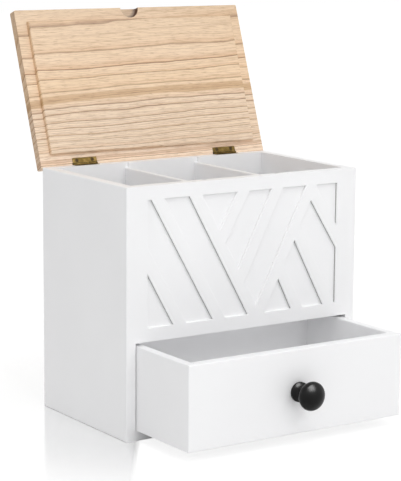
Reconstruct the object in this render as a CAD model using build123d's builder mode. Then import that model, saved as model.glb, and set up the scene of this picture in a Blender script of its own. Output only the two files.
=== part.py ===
from build123d import *
import os
from math import atan2, cos, degrees, hypot, radians, sin

os.makedirs("parts", exist_ok=True)

# The box stands on the floor plane with its front towards -Y. The origin is the middle of its base.
# The lid is modelled open against its stop, and the drawer is modelled pulled out.

# Case
case_width = 240.0
case_depth = 143.0
case_height = 217.0
side_board = 9.0
back_board = 9.0
bottom_board = 9.0
edge_round = 1.0
shelf_thickness = 6.0
shelf_groove = 3.0

# Front panel: a fret of rails and slanting slats glued on a plain backing
backing_thickness = 6.5
fret_thickness = 2.5
rail_width = 12.0
slat_width = 11.0
recess_chamfer = 0.4

# Dividers, in grooves that are open at the rim
divider_thickness = 4.0
divider_groove = 2.5
divider_drop = 4.5
divider_round = 1.0

# Lid: one board, rabbeted all round so that its middle drops into the case
lid_border = 9.0
lid_plug = 3.5
lid_side_overhang = 0.5
lid_front_overhang = 0.2
lid_lean = 19.8
lid_edge_round = 1.0
lid_corner_round = 1.2
plug_side_clearance = 1.2
plug_back_clearance = 0.6
plug_front_clearance = 2.0
plug_edge_round = 1.4
notch_radius = 9.5
notch_depth = 5.0
notch_floor_round = 1.5
stop_gap = 0.05

# Butt hinges, let into the lid and into the rim of the back panel
hinge_length = 25.0
hinge_leaf_width = 6.0
hinge_leaf_thickness = 0.9
hinge_corner_round = 0.6
hinge_inset = 44.3
hinge_gap = 0.3
pin_offset = 0.8
pin_radius = 0.65
pin_fit = 0.02
pin_running_fit = 0.05
pin_end_length = 0.4
pin_end_chamfer = 0.2
knuckle_radius = 1.3
knuckle_gap = 0.2
mortise_clearance = 0.15

# Countersunk hinge screws
screw_head_radius = 1.8
screw_shank_radius = 1.0
screw_length = 6.0
screw_spread = 16.0
screw_row = 3.9
screw_clearance = 0.05

# Drawer
drawer_pull = 80.0
drawer_side_gap = 0.75
drawer_floor_gap = 0.3
drawer_roof_gap = 2.4
drawer_back_gap = 0.3
drawer_height = 72.8
drawer_front_thickness = 9.0
drawer_lip = 4.0
drawer_side_thickness = 8.0
drawer_back_thickness = 8.0
drawer_bottom_thickness = 4.0
drawer_bottom_rise = 5.0
drawer_groove = 4.0
drawer_edge_round = 1.0

# Mushroom knob and its screw
knob_length = 26.5
knob_head_radius = 12.4
knob_crown_rise = 8.0
knob_brim_round = 5.0
knob_brim_start = 75.0
knob_neck_radius = 5.2
knob_neck_height = 8.4
knob_flange_radius = 8.6
knob_flange_height = 3.2
knob_flange_chamfer = 0.6
knob_bore_depth = 13.0
knob_seat_gap = 0.05
knob_screw_radius = 1.95
knob_screw_clearance = 0.1
knob_screw_grip = 11.0
knob_screw_head_radius = 4.0
knob_screw_head_height = 2.6
knob_screw_head_chamfer = 1.0

# Planes and places that follow from the sizes
front_y = -case_depth / 2
back_y = case_depth / 2
inner_width = case_width - 2 * side_board
front_thickness = backing_thickness + fret_thickness
inner_front_y = front_y + front_thickness
inner_back_y = back_y - back_board
inner_depth = inner_back_y - inner_front_y
bay_height = drawer_floor_gap + drawer_height + drawer_roof_gap
bay_top = bottom_board + bay_height
panel_height = case_height - bay_top
compartment_floor = bay_top + shelf_thickness
divider_top = case_height - divider_drop
divider_x = (inner_width + divider_thickness) / 6
pin_y = back_y + pin_offset
pin_z = case_height + hinge_gap
hinge_centres = (hinge_inset - case_width / 2, case_width / 2 - hinge_inset)
knuckle_length = (hinge_length - 2 * knuckle_gap) / 3
screw_head_height = screw_head_radius - screw_shank_radius

# The lid's own plane holds its underside. Its X runs along the pin, and its Y runs to the free edge.
lean = radians(lid_lean)
lid_plane = Plane(origin=(0, pin_y, pin_z), x_dir=(1, 0, 0), z_dir=(0, -cos(lean), sin(lean)))
lid_normal = Axis(lid_plane.origin, lid_plane.z_dir)


def write(part, name):
    part.label = name
    export_step(part, f"parts/{name}.step")


def knuckle(centre_x, length, radius, mode):
    # A cylinder along the pin's line, centred on centre_x
    with BuildSketch(Plane.YZ.offset(centre_x - length / 2)) as section:
        with Locations((pin_y, pin_z)):
            Circle(radius)
    extrude(section.sketch, amount=length, mode=mode)


def hinge_mortises(plane, row_sign):
    # Pockets for the leaves, the hollow for the knuckles, and pilot holes, cut into a board
    for centre_x in hinge_centres:
        with BuildSketch(plane) as pocket:
            with Locations((centre_x, row_sign * hinge_leaf_width / 2)):
                Rectangle(hinge_length + 2 * mortise_clearance, hinge_leaf_width + 2 * mortise_clearance)
        extrude(pocket.sketch, amount=-hinge_leaf_thickness, mode=Mode.SUBTRACT)
        knuckle(
            centre_x,
            hinge_length + 2 * (pin_end_length + mortise_clearance),
            knuckle_radius + knuckle_gap,
            Mode.SUBTRACT,
        )
        with Locations(plane):
            with Locations(*screw_points(centre_x, row_sign)):
                Hole(screw_shank_radius + screw_clearance, screw_length + screw_clearance)


def screw_points(centre_x, row_sign):
    return [(centre_x + side * screw_spread / 2, row_sign * screw_row) for side in (-1, 1)]


def countersunk_screws(plane, row_sign):
    # The four screws that hold one row of leaves
    points = [point for centre_x in hinge_centres for point in screw_points(centre_x, row_sign)]
    with BuildPart() as screws:
        with Locations(plane):
            with Locations(*points):
                Cylinder(
                    screw_shank_radius,
                    screw_length,
                    align=(Align.CENTER, Align.CENTER, Align.MAX),
                )
                Cone(
                    screw_shank_radius,
                    screw_head_radius,
                    screw_head_height,
                    align=(Align.CENTER, Align.CENTER, Align.MAX),
                )
    return screws.part


def hinge_leaf(centre_x, plane, row_sign, carries_ends):
    # A plate with its own knuckles, cleared round the other leaf's knuckles and bored for the pin
    pitch = knuckle_length + knuckle_gap
    ends = (centre_x - pitch, centre_x + pitch)
    own = ends if carries_ends else (centre_x,)
    other = (centre_x,) if carries_ends else ends
    bore_fit = pin_fit if carries_ends else pin_running_fit
    with BuildPart() as leaf:
        with BuildSketch(plane):
            with Locations((centre_x, row_sign * hinge_leaf_width / 2)):
                Rectangle(hinge_length, hinge_leaf_width)
        extrude(amount=-hinge_leaf_thickness)
        away_from_pin = Axis(plane.origin, plane.y_dir * row_sign)
        corners = leaf.edges().filter_by(Axis(plane.origin, plane.z_dir)).sort_by(away_from_pin)
        fillet(corners[-2:], hinge_corner_round)
        for knuckle_x in other:
            knuckle(
                knuckle_x,
                knuckle_length + 2 * knuckle_gap,
                knuckle_radius + knuckle_gap,
                Mode.SUBTRACT,
            )
        for knuckle_x in own:
            knuckle(knuckle_x, knuckle_length, knuckle_radius, Mode.ADD)
        knuckle(centre_x, 2 * hinge_length, pin_radius + bore_fit, Mode.SUBTRACT)
        with Locations(plane):
            with Locations(*screw_points(centre_x, row_sign)):
                CounterSinkHole(
                    screw_shank_radius + screw_clearance,
                    screw_head_radius + screw_clearance,
                    counter_sink_angle=90,
                )
    return leaf.part


# Side panels, grooved for the shelf, with the outer face's edges eased
with BuildPart() as left_side_panel:
    with BuildSketch(Plane.YZ.offset(-case_width / 2)):
        Rectangle(case_depth, case_height, align=(Align.CENTER, Align.MIN))
    extrude(amount=side_board)
    fillet(left_side_panel.faces().sort_by(Axis.X)[0].edges(), edge_round)
    with BuildSketch(Plane.YZ.offset(-inner_width / 2)):
        with Locations(((inner_front_y + inner_back_y) / 2, bay_top)):
            Rectangle(inner_depth, shelf_thickness, align=(Align.CENTER, Align.MIN))
    extrude(amount=-shelf_groove, mode=Mode.SUBTRACT)
write(left_side_panel.part, "left_side_panel")

with BuildPart() as right_side_panel:
    mirror(left_side_panel.part, about=Plane.YZ)
write(right_side_panel.part, "right_side_panel")

# Bottom panel, between the sides and in front of the back
with BuildPart() as bottom_panel:
    with BuildSketch():
        with Locations((0, front_y)):
            Rectangle(inner_width, inner_back_y - front_y, align=(Align.CENTER, Align.MIN))
    extrude(amount=bottom_board)
    fillet(bottom_panel.edges().filter_by(Axis.X).group_by(Axis.Y)[0].sort_by(Axis.Z)[0], edge_round)
write(bottom_panel.part, "bottom_panel")

# Shelf over the drawer bay: the floor of the compartments, held in the grooves of the sides
with BuildPart() as middle_shelf:
    with BuildSketch(Plane.XY.offset(bay_top)):
        with Locations((0, inner_front_y)):
            Rectangle(inner_width + 2 * shelf_groove, inner_depth, align=(Align.CENTER, Align.MIN))
    extrude(amount=shelf_thickness)
write(middle_shelf.part, "middle_shelf")


def divider_grooves(face_y, depth_sign):
    # Grooves from the rim down to the shelf, cut into the inner face of the front or back
    with BuildSketch(Plane.XY.offset(compartment_floor)) as grooves:
        with Locations((-divider_x, face_y), (divider_x, face_y)):
            Rectangle(
                divider_thickness,
                divider_groove,
                align=(Align.CENTER, Align.MIN if depth_sign > 0 else Align.MAX),
            )
    extrude(grooves.sketch, amount=case_height - compartment_floor, mode=Mode.SUBTRACT)


# Back panel, with the hinge mortises in its rim
with BuildPart() as back_panel:
    with BuildSketch():
        with Locations((0, back_y)):
            Rectangle(inner_width, back_board, align=(Align.CENTER, Align.MAX))
    extrude(amount=case_height)
    divider_grooves(inner_back_y, 1)
    hinge_mortises(Plane(origin=(0, pin_y, case_height)), -1)
write(back_panel.part, "back_panel")

# Plain backing of the front panel
with BuildPart() as front_panel:
    with BuildSketch(Plane.XY.offset(bay_top)):
        with Locations((0, inner_front_y)):
            Rectangle(inner_width, backing_thickness, align=(Align.CENTER, Align.MAX))
    extrude(amount=panel_height)
    divider_grooves(inner_front_y, -1)
write(front_panel.part, "front_panel")

# Fret on the front: each slat runs between two points of the rectangle through the rails' middles,
# given in shares of that rectangle from its upper left corner. Its round ends lie inside the rail or
# the slat that it runs into.
slats = (
    ((0.000, 0.390), (0.198, 1.000)),
    ((0.060, 0.000), (0.390, 1.000)),
    ((0.241, 0.000), (0.564, 1.000)),
    ((0.504, 0.000), (0.373, 0.409)),
    ((0.675, 0.000), (0.469, 0.705)),
    ((0.852, 0.000), (0.557, 1.000)),
    ((0.832, 0.068), (1.000, 0.527)),
    ((0.751, 0.343), (0.951, 1.000)),
    ((0.671, 0.612), (0.783, 1.000)),
)
rail_span = inner_width - rail_width
rail_drop = panel_height - rail_width
fret_plane = Plane(origin=(0, front_y, (bay_top + case_height) / 2), x_dir=(1, 0, 0), z_dir=(0, 1, 0))


def fret_point(share):
    # On this plane, +Y is down the panel
    across, down = share
    return ((across - 0.5) * rail_span, (down - 0.5) * rail_drop)


with BuildPart() as front_fret:
    with BuildSketch(fret_plane):
        Rectangle(inner_width, panel_height)
        Rectangle(inner_width - 2 * rail_width, panel_height - 2 * rail_width, mode=Mode.SUBTRACT)
        for upper, lower in slats:
            start_x, start_y = fret_point(upper)
            end_x, end_y = fret_point(lower)
            with Locations(((start_x + end_x) / 2, (start_y + end_y) / 2)):
                SlotCenterToCenter(
                    hypot(end_x - start_x, end_y - start_y),
                    slat_width,
                    rotation=degrees(atan2(end_y - start_y, end_x - start_x)),
                )
        Rectangle(inner_width, panel_height, mode=Mode.INTERSECT)
    extrude(amount=fret_thickness)
    recess_edges = front_fret.faces().sort_by(Axis.Y)[0].inner_wires().edges()
    chamfer(recess_edges, recess_chamfer)
write(front_fret.part, "front_fret")

# Dividers, slid into their grooves from above
for name, centre_x in (("left_divider", -divider_x), ("right_divider", divider_x)):
    with BuildPart() as divider:
        with BuildSketch(Plane.XY.offset(compartment_floor)):
            with Locations((centre_x, (inner_front_y + inner_back_y) / 2)):
                Rectangle(divider_thickness, inner_depth + 2 * divider_groove)
        extrude(amount=divider_top - compartment_floor)
        fillet(divider.faces().sort_by(Axis.Z)[-1].edges().filter_by(Axis.Y), divider_round)
    write(divider.part, name)

# Lid board. Behind the pin it has a short tail, whose lower edge stops on the back panel.
lid_tail = (pin_offset - stop_gap) / sin(lean)
lid_reach = pin_y - front_y + lid_front_overhang
lid_width = case_width + 2 * lid_side_overhang
plug_start = pin_y - inner_back_y + plug_back_clearance
plug_end = pin_y - inner_front_y - plug_front_clearance
plug_width = inner_width - 2 * plug_side_clearance

with BuildPart() as lid_board:
    with BuildSketch(lid_plane):
        with Locations((0, -lid_tail)):
            Rectangle(lid_width, lid_tail + lid_reach, align=(Align.CENTER, Align.MIN))
    extrude(amount=-lid_border)
    fillet(lid_board.edges().filter_by(lid_normal), lid_corner_round)
    outer_face = lid_board.faces().filter_by(lid_normal).sort_by(lid_normal)[0]
    fillet(outer_face.edges(), lid_edge_round)
    with BuildSketch(lid_plane):
        with Locations((0, plug_start)):
            Rectangle(plug_width, plug_end - plug_start, align=(Align.CENTER, Align.MIN))
    extrude(amount=lid_plug)
    plug_face = lid_board.faces().filter_by(lid_normal).sort_by(lid_normal)[-1]
    fillet(plug_face.edges(), plug_edge_round)
    with BuildSketch(lid_plane):
        with Locations((0, lid_reach)):
            Circle(notch_radius)
    extrude(amount=-notch_depth, mode=Mode.SUBTRACT)
    notch_floor = lid_board.faces().filter_by(lid_normal).sort_by(SortBy.AREA)[0]
    fillet(notch_floor.edges().filter_by(GeomType.CIRCLE), notch_floor_round)
    hinge_mortises(lid_plane, 1)
write(lid_board.part, "lid_board")

# Hinges: the lid's leaf carries the middle knuckle, the case's leaf the two end knuckles
case_leaf_plane = Plane(origin=(0, pin_y, case_height))
for side, centre_x in zip(("left", "right"), hinge_centres):
    write(hinge_leaf(centre_x, lid_plane, 1, False), f"{side}_hinge_lid_leaf")
    write(hinge_leaf(centre_x, case_leaf_plane, -1, True), f"{side}_hinge_case_leaf")
    with BuildPart() as pin:
        knuckle(centre_x, hinge_length + 2 * pin_end_length, pin_radius, Mode.ADD)
        chamfer(pin.edges().filter_by(GeomType.CIRCLE), pin_end_chamfer)
    write(pin.part, f"{side}_hinge_pin")

write(countersunk_screws(lid_plane, 1), "lid_hinge_screws")
write(countersunk_screws(case_leaf_plane, -1), "case_hinge_screws")

# Drawer. Its front is rabbeted over the ends of the sides, and its bottom lies in grooves all round.
drawer_y = front_y - drawer_pull
drawer_width = inner_width - 2 * drawer_side_gap
drawer_base = bottom_board + drawer_floor_gap
drawer_depth = inner_back_y - front_y - drawer_back_gap
drawer_back_y = drawer_y + drawer_depth
drawer_inner_width = drawer_width - 2 * drawer_side_thickness
drawer_inner_front_y = drawer_y + drawer_front_thickness
drawer_inner_back_y = drawer_back_y - drawer_back_thickness
drawer_inner_depth = drawer_inner_back_y - drawer_inner_front_y
knob_z = drawer_base + drawer_height / 2


def bottom_groove():
    # The slot for the drawer bottom, cut out of whichever board is being made
    with BuildSketch(Plane.XY.offset(drawer_base + drawer_bottom_rise)) as slot:
        with Locations((0, (drawer_inner_front_y + drawer_inner_back_y) / 2)):
            Rectangle(drawer_inner_width + 2 * drawer_groove, drawer_inner_depth + 2 * drawer_groove)
    extrude(slot.sketch, amount=drawer_bottom_thickness, mode=Mode.SUBTRACT)


with BuildPart() as drawer_front:
    with BuildSketch(Plane.XY.offset(drawer_base)):
        with BuildLine():
            Polyline(
                (-drawer_width / 2, drawer_y),
                (drawer_width / 2, drawer_y),
                (drawer_width / 2, drawer_y + drawer_lip),
                (drawer_inner_width / 2, drawer_y + drawer_lip),
                (drawer_inner_width / 2, drawer_inner_front_y),
                (-drawer_inner_width / 2, drawer_inner_front_y),
                (-drawer_inner_width / 2, drawer_y + drawer_lip),
                (-drawer_width / 2, drawer_y + drawer_lip),
                close=True,
            )
        make_face()
    extrude(amount=drawer_height)
    fillet(drawer_front.faces().sort_by(Axis.Y)[0].edges(), drawer_edge_round)
    bottom_groove()
    with Locations(Plane(origin=(0, drawer_y, knob_z), x_dir=(1, 0, 0), z_dir=(0, -1, 0))):
        Hole(knob_screw_radius + knob_screw_clearance)
write(drawer_front.part, "drawer_front")

with BuildPart() as drawer_left_side:
    with BuildSketch(Plane.XY.offset(drawer_base)):
        with Locations((-drawer_width / 2, drawer_y + drawer_lip)):
            Rectangle(drawer_side_thickness, drawer_depth - drawer_lip, align=(Align.MIN, Align.MIN))
    extrude(amount=drawer_height)
    bottom_groove()
    fillet(drawer_left_side.faces().sort_by(Axis.Z)[-1].edges().filter_by(Axis.Y), drawer_edge_round)
write(drawer_left_side.part, "drawer_left_side")

with BuildPart() as drawer_right_side:
    mirror(drawer_left_side.part, about=Plane.YZ)
write(drawer_right_side.part, "drawer_right_side")

with BuildPart() as drawer_back:
    with BuildSketch(Plane.XY.offset(drawer_base)):
        with Locations((0, drawer_back_y)):
            Rectangle(drawer_inner_width, drawer_back_thickness, align=(Align.CENTER, Align.MAX))
    extrude(amount=drawer_height)
    bottom_groove()
    fillet(drawer_back.faces().sort_by(Axis.Z)[-1].edges().filter_by(Axis.X), drawer_edge_round)
write(drawer_back.part, "drawer_back")

with BuildPart() as drawer_bottom:
    with BuildSketch(Plane.XY.offset(drawer_base + drawer_bottom_rise)):
        with Locations((0, (drawer_inner_front_y + drawer_inner_back_y) / 2)):
            Rectangle(drawer_inner_width + 2 * drawer_groove, drawer_inner_depth + 2 * drawer_groove)
    extrude(amount=drawer_bottom_thickness)
write(drawer_bottom.part, "drawer_bottom")

# Knob: flange, cove and mushroom head turned about one axis, bored from behind for its screw.
# In the profile, X is the radius and -Y runs out from the drawer front. The head's brim is an arc, and
# its crown is a flatter arc that touches the brim's and is centred on the axis.
knob_plane = Plane(origin=(0, drawer_y - knob_seat_gap, knob_z))
brim_x = knob_head_radius - knob_brim_round
brim_y = knob_crown_rise - knob_length
crown_radius = (brim_x**2 + knob_crown_rise**2 - knob_brim_round**2) / (
    2 * (knob_crown_rise - knob_brim_round)
)
brim_end = -degrees(atan2(crown_radius - knob_crown_rise, brim_x))
with BuildPart() as drawer_knob:
    with BuildSketch(knob_plane):
        with BuildLine():
            flange = Polyline(
                (0, 0),
                (knob_flange_radius - knob_flange_chamfer, 0),
                (knob_flange_radius, -knob_flange_chamfer),
                (knob_flange_radius, knob_flange_chamfer - knob_flange_height),
                (knob_flange_radius - knob_flange_chamfer, -knob_flange_height),
            )
            brim = CenterArc((brim_x, brim_y), knob_brim_round, knob_brim_start, brim_end - knob_brim_start)
            ThreePointArc(flange @ 1, (knob_neck_radius, -knob_neck_height), brim @ 0)
            TangentArc(brim @ 1, (0, -knob_length), tangent=brim % 1)
            Line((0, -knob_length), (0, 0))
        make_face()
    revolve(axis=Axis(knob_plane.origin, (0, 1, 0)))
    with Locations(Plane(origin=knob_plane.origin, x_dir=(1, 0, 0), z_dir=(0, 1, 0))):
        Hole(knob_screw_radius + knob_screw_clearance, knob_bore_depth)
write(drawer_knob.part, "drawer_knob")

# The knob's screw: a domed head on the inner face of the drawer front
screw_plane = Plane(origin=(0, drawer_inner_front_y, knob_z), x_dir=(1, 0, 0), z_dir=(0, 1, 0))
with BuildPart() as knob_screw:
    with Locations(screw_plane):
        Cylinder(
            knob_screw_head_radius,
            knob_screw_head_height,
            align=(Align.CENTER, Align.CENTER, Align.MIN),
        )
        Cylinder(
            knob_screw_radius,
            drawer_front_thickness + knob_screw_grip,
            align=(Align.CENTER, Align.CENTER, Align.MAX),
        )
    chamfer(knob_screw.faces().sort_by(Axis.Y)[-1].edges(), knob_screw_head_chamfer)
write(knob_screw.part, "knob_screw")
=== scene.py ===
from math import cos, pi, radians, sin

import bmesh
import bpy
from mathutils import Matrix, Vector


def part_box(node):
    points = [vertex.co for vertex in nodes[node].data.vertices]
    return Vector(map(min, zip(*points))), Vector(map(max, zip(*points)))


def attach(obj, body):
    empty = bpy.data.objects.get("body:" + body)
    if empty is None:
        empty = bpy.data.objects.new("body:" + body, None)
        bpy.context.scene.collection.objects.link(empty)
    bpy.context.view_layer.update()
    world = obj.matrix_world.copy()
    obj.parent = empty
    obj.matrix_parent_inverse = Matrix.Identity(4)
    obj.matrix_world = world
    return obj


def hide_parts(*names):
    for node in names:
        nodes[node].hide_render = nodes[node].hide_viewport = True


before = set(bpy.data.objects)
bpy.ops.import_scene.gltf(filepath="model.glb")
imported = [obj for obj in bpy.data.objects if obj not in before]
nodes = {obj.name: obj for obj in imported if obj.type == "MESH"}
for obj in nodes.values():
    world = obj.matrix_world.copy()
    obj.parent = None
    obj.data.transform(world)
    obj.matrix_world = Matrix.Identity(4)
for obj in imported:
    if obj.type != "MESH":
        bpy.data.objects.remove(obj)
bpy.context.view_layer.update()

scene = bpy.context.scene
mm = 0.001
noiseSpread = (0.3, 0.7)   # most values of a noise texture lie between these

# both hinge pins lie on one line, from which the lid's grain and the hinge screws are placed
pinLow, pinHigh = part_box("left_hinge_pin")
pinPlace = Vector((0, (pinLow[1] + pinHigh[1]) / 2, (pinLow[2] + pinHigh[2]) / 2))


# Small tools shared by the pieces

def linearColour(hexText):
    # sRGB hex to the linear RGBA that shader sockets take
    channels = [int(hexText[i:i + 2], 16) / 255 for i in (1, 3, 5)]
    return [c / 12.92 if c <= 0.04045 else ((c + 0.055) / 1.055) ** 2.4 for c in channels] + [1.0]


def addNode(tree, kind, inputs=None, stops=None, **settings):
    # Adds one node. An input is a value or another node's socket.
    # Stops are a colour ramp's pairs of place and hex colour.
    node = tree.nodes.new("ShaderNode" + kind)
    for name, value in settings.items():
        setattr(node, name, value)
    if stops:
        elements = node.color_ramp.elements
        for place, _ in stops[2:]:
            elements.new(place)
        for element, (place, colour) in zip(elements, stops):
            element.position = place
            element.color = linearColour(colour)
    for name, value in (inputs or {}).items():
        if isinstance(value, bpy.types.NodeSocket):
            tree.links.new(value, node.inputs[name])
        else:
            node.inputs[name].default_value = value
    return node


def newMaterial(name):
    material = bpy.data.materials.new(name)
    material.use_nodes = True
    material.node_tree.nodes.clear()
    return material, material.node_tree


def finishMaterial(tree, shader):
    addNode(tree, "OutputMaterial", {"Surface": shader.outputs[0]})


def dress(material, *names):
    # Gives CAD nodes their finish
    for name in names:
        mesh = nodes[name].data
        mesh.materials.clear()
        mesh.materials.append(material)


def newPiece(bm, name, material, body, replaced):
    # Writes the bmesh to a finished piece that stands for a CAD node
    bmesh.ops.recalc_face_normals(bm, faces=bm.faces)
    mesh = bpy.data.meshes.new(name)
    bm.to_mesh(mesh)
    bm.free()
    mesh.materials.append(material)
    piece = bpy.data.objects.new(name, mesh)
    scene.collection.objects.link(piece)
    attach(piece, body)
    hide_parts(replaced)
    return piece


# Painted boards

paint = {
    "colour": "#FBFBFC",
    "shadeColour": "#F8F8F9",
    "roughness": 0.38,
    "glossChange": 0.05,       # how far the roughness goes to either side of that
    "ior": 1.48,
    "cloudSize": 90,           # mm, slow change of tone across a board
    "peelSize": 1.6,           # mm, the sprayed coat's ripple, coarser than the real 0.8 so that it shows
    "peelHeight": 0.012,       # mm
    "peelStrength": 0.6,
    # painted shade: the grey at the foot of the fret's walls stands in for the shadow in its recesses
    "cornerShadeColour": "#9A9997",
    "cornerShadeDepth": 1.1,          # mm, how far up from the fret's back the painted shade shows
    "wallFacing": (0.3, 0.6),  # share of the normal that points forwards, on a full wall and on none
    "upFacing": (0.2, 0.5),    # share of it that points up, on a fully shaded wall and on an unshaded one
}


def satinPaintedMdf(name="satinPaintedMdf", withCornerShade=False):
    # MDF board, sanded and sprayed with satin lacquer: even white, with a soft sheen and a faint ripple
    material, tree = newMaterial(name)
    place = addNode(tree, "TexCoord")
    clouds = addNode(tree, "TexNoise", {
        "Vector": place.outputs["Object"], "Scale": 1 / (paint["cloudSize"] * mm), "Detail": 3.0})
    tone = addNode(tree, "ValToRGB", {"Fac": clouds.outputs["Fac"]},
                   stops=((0.35, paint["shadeColour"]), (0.65, paint["colour"])))
    # on the fret, painted shade at the foot of its walls
    if withCornerShade:
        tone = paintedCornerShade(tree, place, tone)
    peel = addNode(tree, "TexNoise", {
        "Vector": place.outputs["Object"], "Scale": 1 / (paint["peelSize"] * mm), "Detail": 2.0})
    ripple = addNode(tree, "Bump", {
        "Height": peel.outputs["Fac"], "Strength": paint["peelStrength"],
        "Distance": paint["peelHeight"] * mm})
    sheen = addNode(tree, "MapRange", {
        "Value": clouds.outputs["Fac"], "To Min": paint["roughness"] - paint["glossChange"],
        "To Max": paint["roughness"] + paint["glossChange"]})
    shader = addNode(tree, "BsdfPrincipled", {
        "Base Color": tone.outputs["Color"], "Roughness": sheen.outputs["Result"],
        "Normal": ripple.outputs["Normal"], "IOR": paint["ior"]})
    finishMaterial(tree, shader)
    return material


def paintedCornerShade(tree, place, tone):
    # Painted shade: grey at the foot of the fret's walls, where the recesses lie in shadow, but not on
    # walls that face up
    facing = addNode(tree, "SeparateXYZ", {"Vector": place.outputs["Normal"]})
    frontShare = addNode(tree, "Math", {0: facing.outputs["Y"]}, operation="ABSOLUTE")
    wall = addNode(tree, "MapRange", {
        "Value": frontShare.outputs[0], "From Min": paint["wallFacing"][0],
        "From Max": paint["wallFacing"][1], "To Min": 1.0, "To Max": 0.0})
    notUp = addNode(tree, "MapRange", {
        "Value": facing.outputs["Z"], "From Min": paint["upFacing"][0],
        "From Max": paint["upFacing"][1], "To Min": 1.0, "To Max": 0.0})
    spot = addNode(tree, "SeparateXYZ", {"Vector": place.outputs["Object"]})
    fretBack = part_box("front_fret")[1][1]
    inCorner = addNode(tree, "Math", {0: spot.outputs["Y"], 1: fretBack - paint["cornerShadeDepth"] * mm},
                       operation="GREATER_THAN")
    shadedWall = addNode(tree, "Math", {0: wall.outputs["Result"], 1: notUp.outputs["Result"]},
                         operation="MULTIPLY")
    paintedShade = addNode(tree, "Math", {0: shadedWall.outputs[0], 1: inCorner.outputs[0]}, operation="MULTIPLY")
    return addNode(tree, "MixRGB", {
        "Fac": paintedShade.outputs[0], "Color1": tone.outputs["Color"],
        "Color2": linearColour(paint["cornerShadeColour"])})


# The wooden lid

board = {
    "turn": 70.2,                 # degrees, how far the open lid's underside is turned from facing up
    "reach": 144.0,               # mm from the pin to the free edge
    "heart": (150, -42),          # mm from the pin and from the underside to the tree's heart
    "firstRing": 38,              # mm, radius of the first year ring; later rings get narrower
    "ringPhase": 0.72,            # share of a year by which all rings are moved
    "ringLean": 0.024,            # mm of drift for each mm along the board
    "waver": 1.7,                 # mm, how far the rings wander
    "waverSize": (120, 40),       # mm along and across the grain
    "unevenYears": 0.9,           # how much narrow and broad years differ
    "weatherScale": 0.9,          # changes of weather to a year
    # from one year line to the next
    "yearTones": ((0.0, "#F2DCC4"), (0.08, "#FDEBD7"), (0.6, "#FCE9D4"), (0.86, "#EFD2B4"),
                  (0.95, "#AD8058"), (1.0, "#8C6547")),
    "faintestYear": 0.5,          # how far a faint year is faded to the next tone
    "faintTone": "#FAE6CF",
    "heartYears": (0.9, 1.2),     # where the plain wood about the heart ends, and where the rings are full
    "heartPlainness": 0.85,       # weight of the plain tone there
    "heartTone": "#FCE9D4",
    "darkYears": (6.35, 7.1),     # the rings of one broad darker band
    "darkEdge": 0.1,              # years
    "darkTone": "#D8B894",
    "darkWeight": 0.75,
    "hairlines": 4,               # fine lines to a year
    "hairTones": ((0.0, "#F1EAE3"), (0.15, "#FFFFFF"), (0.75, "#FFFFFF"), (1.0, "#D5C5B8")),
    "lateYears": 0.5,             # years past the dark band until the late wood is full
    "lateWeight": (0.4, 1.0),     # weight of the hairlines in the early and in the late wood
    "lateTints": ("#F2E4CC", "#FBF9F9"),   # of the early and of the late wood
    "goldTint": "#FFF9EF",        # comes and goes over the board
    "tintSize": (160, 35),        # mm along and across the grain
    # from the pin to the free edge; the white by the pin is painted light against the hinges' shade
    "riseTones": ((0.05, "#FFFFFF"), (0.12, "#F6F4EF"), (0.35, "#F6F4EF"), (0.5, "#FCFBF8"),
                  (0.65, "#F9F7F5"), (0.85, "#F4F2F0"), (1.0, "#EDEBE9")),
    "fibre": (18, 0.6),           # mm along and across, wider than the real 0.3 so that they show
    "fibreTones": ((0.34, "#DFD5CB"), (0.5, "#FBF9F7"), (0.64, "#FFFFFF")),
    "pore": (9, 0.7),             # mm along and across, also wider than the real 0.3
    "poreTones": ((0.32, "#C6B29E"), (0.43, "#FFFFFF")),
    "poreWeight": 0.5,
    "notch": 9.65,                # mm, radius of the finger notch with a little to spare
    "notchDepth": 5.0,            # mm
    "notchSpare": (0.3, 0.1),     # mm, the painted shade's start under the notch's rim and its end under the floor
    # the notch's dark brown is painted shade in the finger notch
    "notchShadeTone": "#54341F",
    "notchShadeFade": (4.0, 0.8),     # mm in from the notch's radius, where the painted shade starts and is full
    "notchShadeWeight": (0.1, 0.95),  # on the notch's floor and on its wall
    "sawnTint": "#E9E6E5",
    "sawnDepth": 3.0,             # mm in from the board's ends
    "sawnFacing": (0.6, 0.9),     # share of the normal that points sideways, on no end and on a full end
    "roughness": 0.62,
    "ior": 1.45,
    "fibreHeight": 0.06,          # mm
    "fibreStrength": 0.5,
}


def streaks(tree, along, size, detail, roughness=0.5):
    # Noise drawn out along the grain, its size given in mm along and across it
    length, width = size
    scale = addNode(tree, "Mapping", {
        "Vector": along.outputs["Vector"], "Scale": (1 / length / mm, 1 / width / mm, 1 / width / mm)})
    return addNode(tree, "TexNoise", {
        "Vector": scale.outputs["Vector"], "Scale": 1.0, "Detail": detail, "Roughness": roughness})


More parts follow.
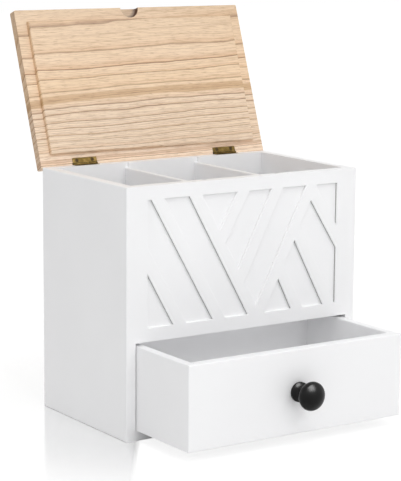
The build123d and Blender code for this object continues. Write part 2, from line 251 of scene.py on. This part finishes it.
def countYears(tree, along, parts):
    # Years out from the heart, leaning and wandering along the board: all alike, and narrow and broad ones
    centred = addNode(tree, "Mapping", {
        "Vector": along.outputs["Vector"],
        "Location": (0, -board["heart"][0] * mm, -board["heart"][1] * mm), "Scale": (0, 1, 1)})
    radius = addNode(tree, "VectorMath", {0: centred.outputs["Vector"]}, operation="LENGTH")
    leaned = addNode(tree, "Math", {
        0: parts.outputs["X"], 1: board["ringLean"], 2: radius.outputs["Value"]}, operation="MULTIPLY_ADD")
    wander = streaks(tree, along, board["waverSize"], detail=4.0)
    wanderWidth = addNode(tree, "MapRange", {
        "Value": wander.outputs["Fac"], "From Min": noiseSpread[0], "From Max": noiseSpread[1],
        "To Min": -board["waver"] * mm, "To Max": board["waver"] * mm}, clamp=False)
    wandered = addNode(tree, "Math", {0: leaned.outputs[0], 1: wanderWidth.outputs["Result"]},
                       operation="ADD")
    # each year adds the same area, so the years go with the square of the radius
    inRings = addNode(tree, "Math", {0: wandered.outputs[0], 1: board["firstRing"] * mm},
                      operation="DIVIDE")
    years = addNode(tree, "Math", {0: inRings.outputs[0], 1: 2.0}, operation="POWER")
    weather = addNode(tree, "TexNoise", {
        "W": years.outputs[0], "Scale": board["weatherScale"], "Detail": 1.0}, noise_dimensions="1D")
    weathered = addNode(tree, "Math", {
        0: weather.outputs["Fac"], 1: board["unevenYears"], 2: years.outputs[0]}, operation="MULTIPLY_ADD")
    unevenYears = addNode(tree, "Math", {0: weathered.outputs[0], 1: board["ringPhase"]}, operation="ADD")
    return years, unevenYears


def yearLines(tree, years, unevenYears):
    # A brown line at each year's end, some faint, plain wood near the heart and one broad darker band
    share = addNode(tree, "Math", {0: unevenYears.outputs[0]}, operation="FRACT")
    year = addNode(tree, "Math", {0: unevenYears.outputs[0]}, operation="FLOOR")
    rings = addNode(tree, "ValToRGB", {"Fac": share.outputs[0]}, stops=board["yearTones"])
    chance = addNode(tree, "TexWhiteNoise", {"W": year.outputs[0]}, noise_dimensions="1D")
    faint = addNode(tree, "MapRange", {
        "Value": chance.outputs["Value"], "To Min": 0.0, "To Max": board["faintestYear"]})
    faded = addNode(tree, "MixRGB", {
        "Fac": faint.outputs["Result"], "Color1": rings.outputs["Color"],
        "Color2": linearColour(board["faintTone"])})
    nearHeart = addNode(tree, "MapRange", {
        "Value": years.outputs[0], "From Min": board["heartYears"][0], "From Max": board["heartYears"][1],
        "To Min": board["heartPlainness"], "To Max": 0.0})
    plained = addNode(tree, "MixRGB", {
        "Fac": nearHeart.outputs["Result"], "Color1": faded.outputs["Color"],
        "Color2": linearColour(board["heartTone"])})
    first, last = board["darkYears"]
    bandIn = addNode(tree, "MapRange", {
        "Value": years.outputs[0], "From Min": first - board["darkEdge"], "From Max": first})
    bandOut = addNode(tree, "MapRange", {
        "Value": years.outputs[0], "From Min": last, "From Max": last + board["darkEdge"],
        "To Min": 1.0, "To Max": 0.0})
    band = addNode(tree, "Math", {0: bandIn.outputs["Result"], 1: bandOut.outputs["Result"]},
                   operation="MULTIPLY")
    bandWeight = addNode(tree, "Math", {0: band.outputs[0], 1: board["darkWeight"]}, operation="MULTIPLY")
    return addNode(tree, "MixRGB", {
        "Fac": bandWeight.outputs[0], "Color1": plained.outputs["Color"],
        "Color2": linearColour(board["darkTone"])})


def lateWood(tree, along, years, unevenYears, tone):
    # Hairlines between the year lines, stronger past the dark band, where the wood is also less yellow
    hairPlace = addNode(tree, "Math", {0: unevenYears.outputs[0], 1: board["hairlines"]},
                        operation="MULTIPLY")
    hairShare = addNode(tree, "Math", {0: hairPlace.outputs[0]}, operation="FRACT")
    hairTone = addNode(tree, "ValToRGB", {"Fac": hairShare.outputs[0]}, stops=board["hairTones"])
    bandEnd = board["darkYears"][1]
    late = addNode(tree, "MapRange", {
        "Value": years.outputs[0], "From Min": bandEnd, "From Max": bandEnd + board["lateYears"],
        "To Min": board["lateWeight"][0], "To Max": board["lateWeight"][1]})
    haired = addNode(tree, "MixRGB", {
        "Fac": late.outputs["Result"], "Color1": tone.outputs["Color"],
        "Color2": hairTone.outputs["Color"]}, blend_type="MULTIPLY")
    lateTint = addNode(tree, "ValToRGB", {"Fac": late.outputs["Result"]},
                       stops=tuple(zip(board["lateWeight"], board["lateTints"])))
    goldShare = streaks(tree, along, board["tintSize"], detail=2.0)
    tint = addNode(tree, "MixRGB", {
        "Fac": goldShare.outputs["Fac"], "Color1": lateTint.outputs["Color"],
        "Color2": linearColour(board["goldTint"])})
    return addNode(tree, "MixRGB", {
        "Fac": 1.0, "Color1": haired.outputs["Color"], "Color2": tint.outputs["Color"]},
        blend_type="MULTIPLY")


def notchPaintedShade(tree, along, parts):
    # Weight of the painted shade, a dark brown, on the finger notch's wall and on the rim of its floor
    fromEdge = addNode(tree, "Mapping", {
        "Vector": along.outputs["Vector"], "Location": (0, -board["reach"] * mm, 0), "Scale": (1, 1, 0)})
    fromNotch = addNode(tree, "VectorMath", {0: fromEdge.outputs["Vector"]}, operation="LENGTH")
    notchShade = addNode(tree, "MapRange", {
        "Value": fromNotch.outputs["Value"],
        "From Min": (board["notch"] - board["notchShadeFade"][0]) * mm,
        "From Max": (board["notch"] - board["notchShadeFade"][1]) * mm,
        "To Min": board["notchShadeWeight"][0], "To Max": board["notchShadeWeight"][1]})
    inRadius = addNode(tree, "Math", {0: fromNotch.outputs["Value"], 1: board["notch"] * mm},
                       operation="LESS_THAN")
    shadeTop = -board["notchSpare"][0] * mm
    shadeLow = -(board["notchDepth"] + board["notchSpare"][1]) * mm
    underRim = addNode(tree, "Math", {0: parts.outputs["Z"], 1: shadeTop}, operation="LESS_THAN")
    overFloor = addNode(tree, "Math", {0: parts.outputs["Z"], 1: shadeLow}, operation="GREATER_THAN")
    inDepth = addNode(tree, "Math", {0: underRim.outputs[0], 1: overFloor.outputs[0]},
                      operation="MULTIPLY")
    inNotch = addNode(tree, "Math", {0: inRadius.outputs[0], 1: inDepth.outputs[0]}, operation="MULTIPLY")
    return addNode(tree, "Math", {0: notchShade.outputs["Result"], 1: inNotch.outputs[0]},
                   operation="MULTIPLY")


def sawnEnds(tree, place, parts):
    # Weight of the greyer tint on the board's two sawn ends
    facing = addNode(tree, "SeparateXYZ", {"Vector": place.outputs["Normal"]})
    sideways = addNode(tree, "Math", {0: facing.outputs["X"]}, operation="ABSOLUTE")
    sawn = addNode(tree, "MapRange", {
        "Value": sideways.outputs[0], "From Min": board["sawnFacing"][0],
        "From Max": board["sawnFacing"][1]})
    across = addNode(tree, "Math", {0: parts.outputs["X"]}, operation="ABSOLUTE")
    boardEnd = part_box("lid_board")[1][0]
    atEnd = addNode(tree, "Math", {0: across.outputs[0], 1: boardEnd - board["sawnDepth"] * mm},
                    operation="GREATER_THAN")
    return addNode(tree, "Math", {0: sawn.outputs["Result"], 1: atEnd.outputs[0]}, operation="MULTIPLY")


def planedPaulownia():
    # Paulownia board, planed, sanded and left bare: pale straw with thin brown year lines, fibres and pores
    material, tree = newMaterial("planedPaulownia")
    place = addNode(tree, "TexCoord")
    # X runs along the grain, Y from the pin to the free edge and Z out of the underside
    along = addNode(tree, "Mapping", {
        "Vector": place.outputs["Object"], "Location": pinPlace,
        "Rotation": (radians(board["turn"]), 0, 0)}, vector_type="TEXTURE")
    parts = addNode(tree, "SeparateXYZ", {"Vector": along.outputs["Vector"]})
    years, unevenYears = countYears(tree, along, parts)
    lined = yearLines(tree, years, unevenYears)
    tinted = lateWood(tree, along, years, unevenYears, lined)

    # a little paler by the pin, where it is painted light against the hinges' shade, and in the middle, and
    # darker towards the free edge
    rise = addNode(tree, "MapRange", {"Value": parts.outputs["Y"], "From Max": board["reach"] * mm})
    riseTone = addNode(tree, "ValToRGB", {"Fac": rise.outputs["Result"]}, stops=board["riseTones"])
    risen = addNode(tree, "MixRGB", {
        "Fac": 1.0, "Color1": tinted.outputs["Color"], "Color2": riseTone.outputs["Color"]},
        blend_type="MULTIPLY")

    fibres = streaks(tree, along, board["fibre"], detail=3.0, roughness=0.6)
    fibreTone = addNode(tree, "ValToRGB", {"Fac": fibres.outputs["Fac"]}, stops=board["fibreTones"])
    fibred = addNode(tree, "MixRGB", {
        "Fac": 1.0, "Color1": risen.outputs["Color"], "Color2": fibreTone.outputs["Color"]},
        blend_type="MULTIPLY")
    pores = streaks(tree, along, board["pore"], detail=2.0)
    poreTone = addNode(tree, "ValToRGB", {"Fac": pores.outputs["Fac"]}, stops=board["poreTones"])
    pored = addNode(tree, "MixRGB", {
        "Fac": board["poreWeight"], "Color1": fibred.outputs["Color"], "Color2": poreTone.outputs["Color"]},
        blend_type="MULTIPLY")

    # painted shade in the finger notch
    notchShade = notchPaintedShade(tree, along, parts)
    notched = addNode(tree, "MixRGB", {
        "Fac": notchShade.outputs[0], "Color1": pored.outputs["Color"],
        "Color2": linearColour(board["notchShadeTone"])})
    endGrain = sawnEnds(tree, place, parts)
    ended = addNode(tree, "MixRGB", {
        "Fac": endGrain.outputs[0], "Color1": notched.outputs["Color"],
        "Color2": linearColour(board["sawnTint"])}, blend_type="MULTIPLY")
    relief = addNode(tree, "Bump", {
        "Height": fibres.outputs["Fac"], "Strength": board["fibreStrength"],
        "Distance": board["fibreHeight"] * mm})
    shader = addNode(tree, "BsdfPrincipled", {
        "Base Color": ended.outputs["Color"], "Roughness": board["roughness"],
        "Normal": relief.outputs["Normal"], "IOR": board["ior"]})
    finishMaterial(tree, shader)
    return material


# Finishes of the hinges, the knob and the screws

brass = {
    "leafTones": ((0.3, "#30260F"), (0.5, "#47391D"), (0.72, "#62512F")),
    "screwTones": ((0.3, "#241C10"), (0.5, "#33291A"), (0.72, "#4A3D28")),
    "patchSize": 4,              # mm
    "roughness": (0.52, 0.3),    # of the dark and of the rubbed patches
    "scratchSize": 0.3,          # mm
    "scratchDepth": 0.02,        # mm
    "scratchStrength": 0.4,
}


def antiquedBrass(name, tones):
    # Brass-plated steel, stamped and darkened: olive brown, with brighter rubbed patches and fine scratches
    material, tree = newMaterial(name)
    place = addNode(tree, "TexCoord")
    patches = addNode(tree, "TexNoise", {
        "Vector": place.outputs["Object"], "Scale": 1 / (brass["patchSize"] * mm), "Detail": 4.0,
        "Roughness": 0.6})
    tone = addNode(tree, "ValToRGB", {"Fac": patches.outputs["Fac"]}, stops=tones)
    dulled = addNode(tree, "MapRange", {
        "Value": patches.outputs["Fac"], "To Min": brass["roughness"][0], "To Max": brass["roughness"][1]})
    scratches = addNode(tree, "TexNoise", {
        "Vector": place.outputs["Object"], "Scale": 1 / (brass["scratchSize"] * mm), "Detail": 2.0})
    relief = addNode(tree, "Bump", {
        "Height": scratches.outputs["Fac"], "Strength": brass["scratchStrength"],
        "Distance": brass["scratchDepth"] * mm})
    shader = addNode(tree, "BsdfPrincipled", {
        "Base Color": tone.outputs["Color"], "Metallic": 1.0, "Roughness": dulled.outputs["Result"],
        "Normal": relief.outputs["Normal"]})
    finishMaterial(tree, shader)
    return material


lacquer = {
    "tones": ((0.3, "#040404"), (0.7, "#090909")),
    "roughness": (0.26, 0.34),
    "ior": 1.3,                  # lower than a lacquer's usual 1.5, for a dim gleam
    "cloudSize": 6,              # mm
    "turningPitch": 0.44,        # mm from one turning line to the next
    "turningDepth": 0.01,        # mm
    "turningStrength": 0.15,
}


def blackLacquer():
    # Turned beech under black lacquer: nearly black, with a soft-edged highlight and faint turning lines
    material, tree = newMaterial("blackLacquer")
    place = addNode(tree, "TexCoord")
    clouds = addNode(tree, "TexNoise", {
        "Vector": place.outputs["Object"], "Scale": 1 / (lacquer["cloudSize"] * mm), "Detail": 3.0})
    tone = addNode(tree, "ValToRGB", {"Fac": clouds.outputs["Fac"]}, stops=lacquer["tones"])
    gloss = addNode(tree, "MapRange", {
        "Value": clouds.outputs["Fac"], "To Min": lacquer["roughness"][0],
        "To Max": lacquer["roughness"][1]})
    # a wave texture of scale 1 has a band every pi / 10 m
    turned = addNode(tree, "TexWave", {
        "Vector": place.outputs["Object"], "Scale": pi / 10 / (lacquer["turningPitch"] * mm),
        "Distortion": 1.0}, bands_direction="Y")
    relief = addNode(tree, "Bump", {
        "Height": turned.outputs["Fac"], "Strength": lacquer["turningStrength"],
        "Distance": lacquer["turningDepth"] * mm})
    shader = addNode(tree, "BsdfPrincipled", {
        "Base Color": tone.outputs["Color"], "Roughness": gloss.outputs["Result"],
        "Normal": relief.outputs["Normal"], "IOR": lacquer["ior"]})
    finishMaterial(tree, shader)
    return material


zinc = {
    "tones": ((0.1, "#C3C5C8"), (0.8, "#A9ACB1")),
    "roughness": (0.28, 0.42),
    "spangleSize": 0.9,          # mm
}


def zincPlatedSteel():
    # Cold-headed steel with a zinc coat: cool grey with a fine crystalline change of gloss
    material, tree = newMaterial("zincPlatedSteel")
    place = addNode(tree, "TexCoord")
    spangle = addNode(tree, "TexVoronoi", {
        "Vector": place.outputs["Object"], "Scale": 1 / (zinc["spangleSize"] * mm)})
    tone = addNode(tree, "ValToRGB", {"Fac": spangle.outputs["Distance"]}, stops=zinc["tones"])
    dulled = addNode(tree, "MapRange", {
        "Value": spangle.outputs["Distance"], "To Min": zinc["roughness"][0],
        "To Max": zinc["roughness"][1]})
    shader = addNode(tree, "BsdfPrincipled", {
        "Base Color": tone.outputs["Color"], "Metallic": 1.0, "Roughness": dulled.outputs["Result"]})
    finishMaterial(tree, shader)
    return material


whitePaint = satinPaintedMdf()
# the fret's paint carries painted shade in its inside corners
fretPaintAndShade = satinPaintedMdf("satinPaintedFretShaded", withCornerShade=True)
lidWood = planedPaulownia()
hingeBrass = antiquedBrass("antiquedBrass", brass["leafTones"])
screwBrass = antiquedBrass("blackenedBrass", brass["screwTones"])
knobLacquer = blackLacquer()
screwZinc = zincPlatedSteel()

dress(whitePaint, "left_side_panel", "right_side_panel", "bottom_panel", "middle_shelf", "back_panel",
      "front_panel", "left_divider", "right_divider",
      "drawer_front", "drawer_left_side", "drawer_right_side", "drawer_back", "drawer_bottom")
dress(fretPaintAndShade, "front_fret")
dress(lidWood, "lid_board")
dress(hingeBrass, "left_hinge_case_leaf", "right_hinge_case_leaf", "left_hinge_lid_leaf",
      "right_hinge_lid_leaf", "left_hinge_pin", "right_hinge_pin")
dress(knobLacquer, "drawer_knob")
print("materials done")


# Screws: countersunk heads in the hinges, a pan head inside the drawer front

hingeScrew = {
    "headRadius": 1.8, "headHeight": 0.8, "shankRadius": 1.0, "length": 6.0,   # mm
    "tipShare": 0.5,                                                           # of the shank's radius
    "spread": 16.0, "row": 3.9,                                                # mm, places on a leaf
    "crossLength": 2.1, "crossWidth": 0.5, "crossDepth": 0.5,                  # mm
    "crossTurn": 37,      # degrees by which a leaf's second cross is turned further than its first
    "crossDrift": 900,    # degrees for each metre sideways, so that no two leaves are alike
}
panScrew = {
    "headRadius": 4.0, "headHeight": 2.6, "rim": 0.9, "shankRadius": 1.95, "length": 20.0,   # mm
    "crossLength": 4.2, "crossWidth": 0.9, "crossDepth": 1.3,                                # mm
}
roundSteps = 48


def addTurned(bm, lowRadius, highRadius, low, high, matrix):
    # A closed cone or cylinder between two heights on the screw's own axis, all in mm
    middle = Matrix.Translation((0, 0, (low + high) / 2 * mm))
    bmesh.ops.create_cone(
        bm, cap_ends=True, segments=roundSteps, radius1=lowRadius * mm, radius2=highRadius * mm,
        depth=(high - low) * mm, matrix=matrix @ middle)


def addCross(bm, screw, top, matrix):
    # Two crossed bars that cut the driver's recess, reaching as far above the head as into it
    seat = matrix @ Matrix.Translation((0, 0, top * mm))
    bar = Matrix.Diagonal((
        screw["crossLength"] * mm, screw["crossWidth"] * mm, 2 * screw["crossDepth"] * mm, 1))
    for turn in (0, 90):
        bmesh.ops.create_cube(bm, size=1.0, matrix=seat @ Matrix.Rotation(radians(turn), 4, "Z") @ bar)


def cutPiece(bodyBm, cutterBm, name, material, body, replaced):
    # A piece from one shape less another, kept as one plain mesh
    shapes = []
    for bm, label in ((bodyBm, name + "Body"), (cutterBm, name + "Cutter")):
        bmesh.ops.recalc_face_normals(bm, faces=bm.faces)
        mesh = bpy.data.meshes.new(label)
        bm.to_mesh(mesh)
        bm.free()
        shape = bpy.data.objects.new(label, mesh)
        scene.collection.objects.link(shape)
        shapes.append(shape)
    cut = shapes[0].modifiers.new("cross", "BOOLEAN")
    cut.object = shapes[1]
    cut.solver = "EXACT"
    cut.use_self = True
    evaluated = shapes[0].evaluated_get(bpy.context.evaluated_depsgraph_get())
    result = bmesh.new()
    result.from_mesh(evaluated.to_mesh())
    evaluated.to_mesh_clear()
    for shape in shapes:
        bpy.data.objects.remove(shape)
    return newPiece(result, name, material, body, replaced)


def hingeScrews(rowMatrix, rowSign, name, body, replaced):
    # The four screws of both hinges' leaves on one body
    bodyBm, cutterBm = bmesh.new(), bmesh.new()
    for side in ("left", "right"):
        low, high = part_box(side + "_hinge_pin")
        for end in (-0.5, 0.5):
            across = (low[0] + high[0]) / 2 + end * hingeScrew["spread"] * mm
            crossTurn = hingeScrew["crossTurn"] * (1 + end) + hingeScrew["crossDrift"] * across
            matrix = rowMatrix @ Matrix.Translation((across, rowSign * hingeScrew["row"] * mm, 0))
            matrix = matrix @ Matrix.Rotation(radians(crossTurn), 4, "Z")
            addTurned(bodyBm, hingeScrew["shankRadius"], hingeScrew["headRadius"],
                      -hingeScrew["headHeight"], 0, matrix)
            addTurned(bodyBm, hingeScrew["shankRadius"] * hingeScrew["tipShare"],
                      hingeScrew["shankRadius"], -hingeScrew["length"], -hingeScrew["headHeight"], matrix)
            addCross(cutterBm, hingeScrew, 0, matrix)
    return cutPiece(bodyBm, cutterBm, name, screwBrass, body, replaced)


def knobScrew():
    # The screw that holds the knob, seated by its head on the inside of the drawer front
    low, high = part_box("knob_screw")
    headSeat = high[1] - panScrew["headHeight"] * mm
    inward = Matrix.Translation((0, headSeat, (low[2] + high[2]) / 2))
    inward = inward @ Matrix.Rotation(radians(-90), 4, "X")
    rimStart = panScrew["headHeight"] - panScrew["rim"]
    bodyBm, cutterBm = bmesh.new(), bmesh.new()
    addTurned(bodyBm, panScrew["headRadius"], panScrew["headRadius"], 0, rimStart, inward)
    addTurned(bodyBm, panScrew["headRadius"], panScrew["headRadius"] - panScrew["rim"],
              rimStart, panScrew["headHeight"], inward)
    addTurned(bodyBm, panScrew["shankRadius"], panScrew["shankRadius"], -panScrew["length"], 0, inward)
    addCross(cutterBm, panScrew, panScrew["headHeight"], inward)
    return cutPiece(bodyBm, cutterBm, "knobScrew", screwZinc, "drawer", "knob_screw")


lidMatrix = Matrix.Translation(pinPlace) @ Matrix.Rotation(radians(board["turn"]), 4, "X")
rimMatrix = Matrix.Translation((0, pinPlace.y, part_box("back_panel")[1][2]))
hingeScrews(lidMatrix, 1, "lidHingeScrews", "lid", "lid_hinge_screws")
hingeScrews(rimMatrix, -1, "caseHingeScrews", "case", "case_hinge_screws")
knobScrew()
print("screws done")


# Floor, light and camera

ground = {
    "size": 12.0,                # m
    "bounce": "#F4F4F4",         # the floor that lights the box
    "matt": "#959595",           # the floor that the camera sees, with its shadows
    "glow": 0.82,                # what brings that floor to white
    "mirror": "#E2E2E2",         # the polished patch
    "mirrorBlur": 0.12,
    "polishTurn": -33.7,         # degrees from the front, the line along which the polished patch ends
    "polishEdge": (12, 7),       # mm from the box's front left corner, where it starts and where it is full
    "polishFar": (0.15, 0.34),   # m from the middle of the box, where the polish starts and stops to fade
}


def studioFloor():
    # White laminate with a polished patch on the left: lights the box from below, and shows the camera
    # white with a soft shadow and a faint mirror image that fades away from the box
    material, tree = newMaterial("studioFloor")
    lightPath = addNode(tree, "LightPath")
    place = addNode(tree, "TexCoord")
    polishTurn = radians(ground["polishTurn"])
    across = Vector((cos(polishTurn), sin(polishTurn), 0))
    corner = across.dot(Vector(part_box("left_side_panel")[0]))
    sideways = addNode(tree, "VectorMath", {0: place.outputs["Object"], 1: across},
                       operation="DOT_PRODUCT")
    beside = addNode(tree, "MapRange", {
        "Value": sideways.outputs["Value"], "From Min": corner + ground["polishEdge"][0] * mm,
        "From Max": corner + ground["polishEdge"][1] * mm})
    away = addNode(tree, "VectorMath", {0: place.outputs["Object"]}, operation="LENGTH")
    polish = addNode(tree, "MapRange", {
        "Value": away.outputs["Value"], "From Min": ground["polishFar"][0],
        "From Max": ground["polishFar"][1], "To Min": beside.outputs["Result"], "To Max": 0.0},
        interpolation_type="SMOOTHSTEP")
    mirrorTone = addNode(tree, "MixRGB", {
        "Fac": polish.outputs["Result"], "Color1": (0, 0, 0, 1), "Color2": linearColour(ground["mirror"])})
    glow = addNode(tree, "MapRange", {
        "Value": polish.outputs["Result"], "To Min": ground["glow"], "To Max": 0.0})
    bounce = addNode(tree, "BsdfDiffuse", {"Color": linearColour(ground["bounce"])})
    matt = addNode(tree, "BsdfDiffuse", {"Color": linearColour(ground["matt"])})
    mirror = addNode(tree, "BsdfGlossy", {
        "Color": mirrorTone.outputs["Color"], "Roughness": ground["mirrorBlur"]})
    lift = addNode(tree, "Emission", {
        "Color": linearColour("#FFFFFF"), "Strength": glow.outputs["Result"]})
    surface = addNode(tree, "AddShader", {0: matt.outputs[0], 1: mirror.outputs[0]})
    lifted = addNode(tree, "AddShader", {0: surface.outputs[0], 1: lift.outputs[0]})
    shown = addNode(tree, "MixShader", {
        0: lightPath.outputs["Is Camera Ray"], 1: bounce.outputs[0], 2: lifted.outputs[0]})
    finishMaterial(tree, shown)
    return material


bm = bmesh.new()
bmesh.ops.create_grid(bm, x_segments=1, y_segments=1, size=ground["size"] / 2)
floorMesh = bpy.data.meshes.new("floor")
bm.to_mesh(floorMesh)
bm.free()
floorMesh.materials.append(studioFloor())
floor = bpy.data.objects.new("floor", floorMesh)
scene.collection.objects.link(floor)

room = {
    "skyForLight": 0.72,   # strength for soft light
    "skyForSight": 1.0,    # strength for the camera and for mirror images
}
world = bpy.data.worlds.new("room")
world.use_nodes = True
world.node_tree.nodes.clear()
scene.world = world
tree = world.node_tree
lightPath = addNode(tree, "LightPath")
seen = addNode(tree, "Math", {
    0: lightPath.outputs["Is Camera Ray"], 1: lightPath.outputs["Is Glossy Ray"]}, operation="MAXIMUM")
seenThrough = addNode(tree, "Math", {0: seen.outputs[0], 1: lightPath.outputs["Is Transmission Ray"]},
                      operation="MAXIMUM")
level = addNode(tree, "MapRange", {
    "Value": seenThrough.outputs[0], "To Min": room["skyForLight"], "To Max": room["skyForSight"]})
sky = addNode(tree, "Background", {"Color": (1, 1, 1, 1), "Strength": level.outputs["Result"]})
addNode(tree, "OutputWorld", {"Surface": sky.outputs[0]})

# places and sizes in m; three lamps light the box, and one only shows as a gleam
lamps = {
    "key": {"place": (0.35, -1.72, 1.25), "size": 0.35, "watts": 3.0, "lights": True, "gleams": False},
    "front": {"place": (0.1, -2.0, 0.36), "size": 0.5, "watts": 2.2, "lights": True, "gleams": False},
    "top": {"place": (-0.15, -0.9, 1.9), "size": 0.55, "watts": 5.5, "lights": True, "gleams": False},
    "gleam": {"place": (0.2, -1.4, 1.6), "size": 1.3, "watts": 95, "lights": False, "gleams": True},
}
aim = Vector((0, 0, 0.13))   # m, about the middle of the case
for name, lamp in lamps.items():
    light = bpy.data.lights.new(name, "AREA")
    light.shape = "SQUARE"
    light.size = lamp["size"]
    light.energy = lamp["watts"]
    lightObject = bpy.data.objects.new(name, light)
    lightObject.location = lamp["place"]
    lightObject.visible_diffuse = lamp["lights"]
    lightObject.visible_glossy = lamp["gleams"]
    lightObject.rotation_euler = (aim - Vector(lamp["place"])).to_track_quat("-Z", "Y").to_euler()
    scene.collection.objects.link(lightObject)

photoView = {
    "azimuth": -33.677, "elevation": 9.981, "roll": 0.411,     # degrees
    "distance": 1.66473, "target": (0.001116, 0.0, 0.151219),  # m
    "focalLength": 4.6395,                                     # image widths
    "sensor": 36.0,                                            # mm
    "clipEnd": 50,                                             # m
}
azimuth, elevation = radians(photoView["azimuth"]), radians(photoView["elevation"])
target = Vector(photoView["target"])
outward = Vector((sin(azimuth) * cos(elevation), -cos(azimuth) * cos(elevation), sin(elevation)))
camera = bpy.data.cameras.new("photoCamera")
camera.sensor_fit = "HORIZONTAL"
camera.sensor_width = photoView["sensor"]
camera.lens = photoView["focalLength"] * photoView["sensor"]
camera.clip_end = photoView["clipEnd"]
cameraObject = bpy.data.objects.new("photoCamera", camera)
roll = Matrix.Rotation(radians(photoView["roll"]), 3, "Z")
turn = (-outward).to_track_quat("-Z", "Y").to_matrix() @ roll
cameraObject.matrix_world = Matrix.Translation(target + outward * photoView["distance"]) @ turn.to_4x4()
scene.collection.objects.link(cameraObject)
scene.camera = cameraObject
scene.view_settings.view_transform = "Standard"
print("stage done")
